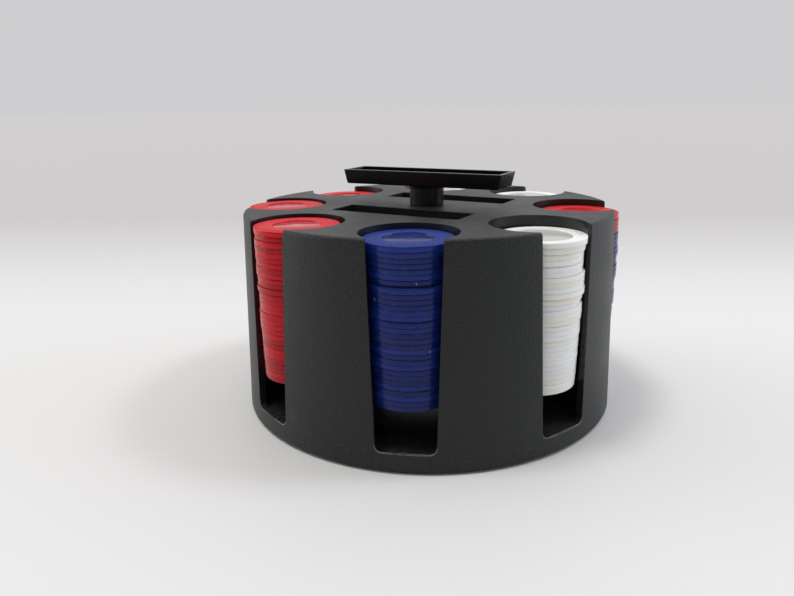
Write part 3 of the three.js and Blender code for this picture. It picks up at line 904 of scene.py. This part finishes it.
def make_well(number):
    """The piles of one well. The uppermost chip is a piece of its own, as in the frame."""
    contents, top = CONTENTS[number]
    chips = lay_chips(number, [count for _, count in contents], top * MM)
    top_colour = contents[-1][0]
    add_pile(f"{top_colour}_top_chip_{number}", chips[-1:], top_colour, f"top_chip_{number}",
             f"top_chip_{number}_{top_colour}")
    chips = chips[:-1]
    for level, (colour, count) in enumerate(contents):
        body = f"chips_{number}" if level == 0 else f"chips_{number}_upper"
        add_pile(f"{colour}_chips_{number}", chips[:count], colour, body, f"chips_{number}_{colour}")
        chips = chips[count:]


# ---- the object ------------------------------------------------------------------
def dress_nodes():
    """The CAD nodes whose shape is right keep it and get their material."""
    looks = {
        "turntable_base": BASE, "runner_ring": NYLON, "hub_washer": STEEL, "thread_insert": BRASS,
        "centre_bolt": STEEL, "bolt_washer": STEEL,
    }
    looks.update({name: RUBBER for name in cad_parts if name.startswith("rubber_foot")})
    for name, look in looks.items():
        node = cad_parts[name]
        node.data.materials.clear()
        node.data.materials.append(look)


def make_object():
    drum = make_drum()
    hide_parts("drum")
    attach(drum, "drum")
    for make, node in ((make_handle_bar, "handle_bar"), (make_handle_post, "handle_post")):
        piece = make()
        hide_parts(node)
        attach(piece, "handle")
    for number in CONTENTS:
        make_well(number)
    dress_nodes()


# ---- studio ----------------------------------------------------------------------
CAMERA_TURN = -61.9                # direction of the camera from the axis, in degrees from +X
CAMERA_DISTANCE = 0.3354
CAMERA_HEIGHT = 0.1482
CAMERA_PITCH = 16.49               # degrees downwards
CAMERA_PAN = -2.72                 # degrees off the axis
CAMERA_ROLL = -0.96                # degrees
CAMERA_LENS = 30.0                 # mm, on the usual 36 mm sensor

FLOOR_HALF = 12.0
# painted shade: the floor's colour darkens away from the object, standing in for light falling off
FLOOR_PAINTED_FALLOFF = (0.05, 0.60)       # from here to there behind the axis
WALL_LIGHT = 0.82                  # world brightness behind the object, on the camera's side, and overhead
ROOM_LIGHT = 0.08
CEILING_LIGHT = 0.69
BACKDROP = 0.62                    # what the camera sees behind the floor

# Lamps and windows: (name, turn from the camera's direction, elevation, strength, width, colour).
# The turn, positive to the right, the elevation and the width are in degrees.
SUNS = [
    ("ceiling_lamp_right", 100, 54, 0.50, 12, (1.0, 1.0, 1.0)),
    ("ceiling_lamp_left", -80, 72, 0.85, 14, (1.0, 0.99, 0.96)),
    ("window", 95, 13, 0.64, 34, (0.72, 0.84, 1.0)),
    ("lamp", -100, 15, 0.60, 34, (1.0, 0.98, 0.90)),
]


def make_camera():
    data = bpy.data.cameras.new("camera")
    data.lens = CAMERA_LENS
    camera = bpy.data.objects.new("camera", data)
    bpy.context.scene.collection.objects.link(camera)
    turn = math.radians(CAMERA_TURN)
    back = Vector((math.cos(turn), math.sin(turn), 0))
    camera.location = back * CAMERA_DISTANCE + Vector((0, 0, CAMERA_HEIGHT))
    facing = Matrix.Rotation(turn + math.pi / 2 - math.radians(CAMERA_PAN), 4, "Z")
    tipping = Matrix.Rotation(math.radians(90 - CAMERA_PITCH), 4, "X")
    rolling = Matrix.Rotation(math.radians(CAMERA_ROLL), 4, "Z")
    camera.matrix_world = Matrix.Translation(camera.location) @ facing @ tipping @ rolling
    bpy.context.scene.camera = camera


def make_floor():
    """A plain pale floor whose colour darkens a little behind the object: painted shade for the light
    falling off.
    """
    half = FLOOR_HALF
    corners = [(-half, -half, 0), (half, -half, 0), (half, half, 0), (-half, half, 0)]
    floor = new_object("floor", mesh_from("floor", corners, [(0, 1, 2, 3)]))
    s = Shader("pale_floor", 0.55, 0.35)
    colour = s.mix(s.noise(3.0, 2.0), rgb(0.80, 0.795, 0.785), rgb(0.83, 0.825, 0.82))
    turn = math.radians(CAMERA_TURN)
    behind = s.node("ShaderNodeVectorMath", {"operation": "DOT_PRODUCT"})
    s.feed(behind.inputs[0], s.place)
    behind.inputs[1].default_value = (-math.cos(turn), -math.sin(turn), 0.0)
    # painted shade: darker floor colour behind the object
    colour = s.mix(s.ramp(behind.outputs["Value"], *FLOOR_PAINTED_FALLOFF), colour, rgb(0.56, 0.54, 0.54))
    floor.data.materials.append(s.finish(colour, None, s.bump(s.noise(600, 2.0), 0.05 * MM, 0.15)))


def studio_light(turn):
    """A world that is bright overhead and behind the object and dimmer on the camera's side of the room.
    What the camera itself sees behind the object is one plain pale tone."""
    world = bpy.data.worlds.new("studio")
    world.use_nodes = True
    tree = world.node_tree
    background = tree.nodes["Background"]

    def node(kind, **settings):
        made = tree.nodes.new(kind)
        for key, value in settings.items():
            setattr(made, key, value)
        return made

    def ramp(value, low, high, out_low, out_high):
        made = node("ShaderNodeMapRange", interpolation_type="SMOOTHSTEP")
        tree.links.new(value, made.inputs["Value"])
        set_range(made, low, high, out_low, out_high)
        return made.outputs["Result"]

    place = node("ShaderNodeTexCoord").outputs["Generated"]
    to_room = node("ShaderNodeVectorMath", operation="DOT_PRODUCT")
    to_room.inputs[1].default_value = (math.cos(turn), math.sin(turn), 0)
    tree.links.new(place, to_room.inputs[0])
    height = node("ShaderNodeSeparateXYZ")
    tree.links.new(place, height.inputs[0])
    around_light = ramp(to_room.outputs["Value"], -0.5, 0.6, WALL_LIGHT, ROOM_LIGHT)
    overhead = ramp(height.outputs["Z"], 0.35, 0.85, 0.0, 1.0)
    level = node("ShaderNodeMix", data_type="FLOAT")
    tree.links.new(overhead, level.inputs[0])
    tree.links.new(around_light, level.inputs[2])
    level.inputs[3].default_value = CEILING_LIGHT
    seen = node("ShaderNodeMix", data_type="FLOAT")
    tree.links.new(node("ShaderNodeLightPath").outputs["Is Camera Ray"], seen.inputs[0])
    tree.links.new(level.outputs[0], seen.inputs[2])
    seen.inputs[3].default_value = BACKDROP
    tree.links.new(seen.outputs[0], background.inputs["Strength"])
    background.inputs["Color"].default_value = rgb(1.0, 1.0, 1.02)
    return world


def sun(name, turn, elevation, strength, width, colour):
    """Directional light with soft shadows."""
    data = bpy.data.lights.new(name, "SUN")
    data.energy = strength
    data.angle = math.radians(width)
    data.color = colour
    light = bpy.data.objects.new(name, data)
    bpy.context.scene.collection.objects.link(light)
    a, up = math.radians(CAMERA_TURN + turn), math.radians(elevation)
    source = Vector((math.cos(up) * math.cos(a), math.cos(up) * math.sin(a), math.sin(up)))
    light.rotation_mode = "QUATERNION"
    light.rotation_quaternion = (-source).to_track_quat("-Z", "Y")


def make_lights():
    scene = bpy.context.scene
    scene.view_settings.view_transform = "Standard"
    scene.world = studio_light(math.radians(CAMERA_TURN))
    for settings in SUNS:
        sun(*settings)


make_camera()
make_floor()
make_lights()
make_object()
bpy.context.view_layer.update()
